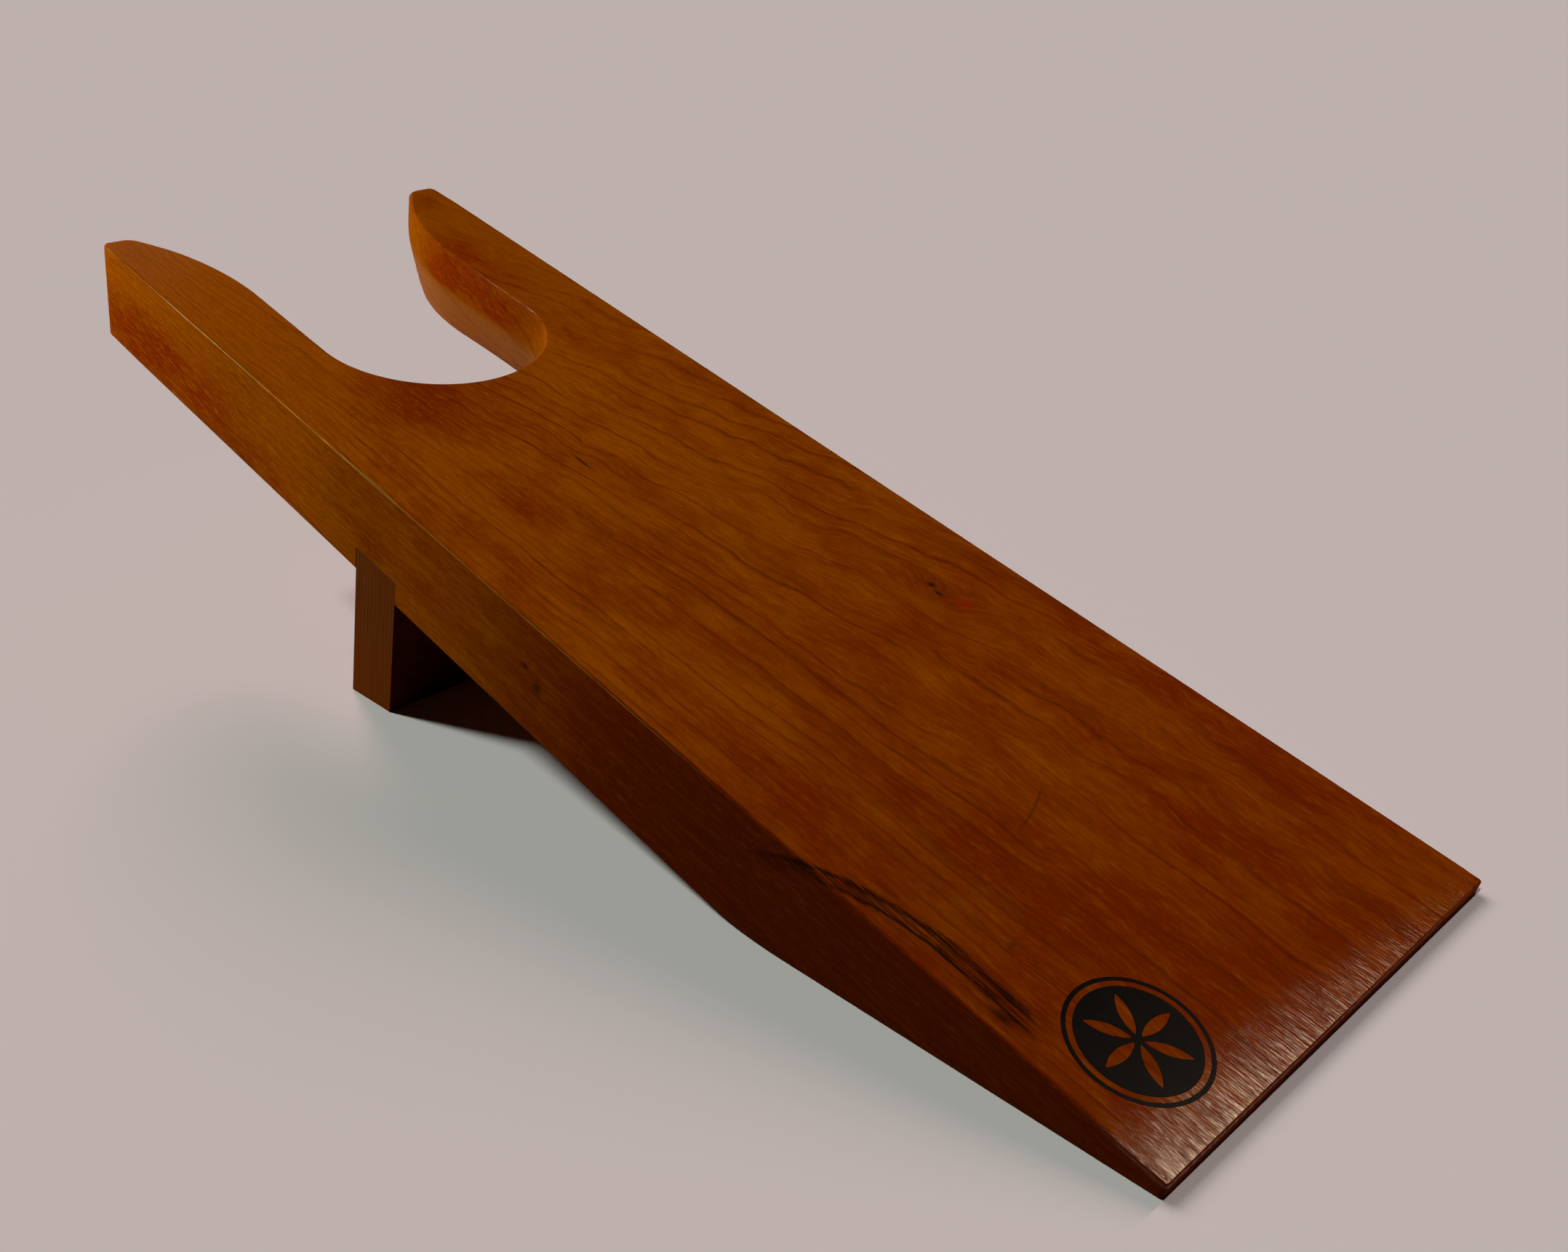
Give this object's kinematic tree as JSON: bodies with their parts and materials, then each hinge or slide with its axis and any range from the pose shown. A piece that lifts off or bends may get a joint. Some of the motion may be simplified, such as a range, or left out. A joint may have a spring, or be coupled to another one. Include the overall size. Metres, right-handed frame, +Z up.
{
  "type": "boot jack",
  "caption": "Wooden boot jack: a sloping plank with a U-shaped heel notch, a thin wedge toe on the floor and a cross foot housed in a dado.",
  "frame": {"origin": "on the floor, under the middle of the object's box", "axes": "+Z up, +Y along the object from the toe to the horns, +X across it, to the right when looking from the toe to the horns"},
  "size_m": [0.102, 0.3308, 0.0923],
  "materials": {
    "board_wood": "clear gloss varnish over reddish orange hardwood, grain along the board",
    "foot_wood": "clear varnish over paler hardwood, end grain showing on the ends",
    "wood_glue": "dried wood glue",
    "mark_black": "glossy black inlay"
  },
  "bodies": {
    "root": {"board": "board_wood", "foot": "foot_wood", "glue_film": "wood_glue", "mark_ring": "mark_black", "mark_disc": "mark_black"}
  },
  "joints": []
}
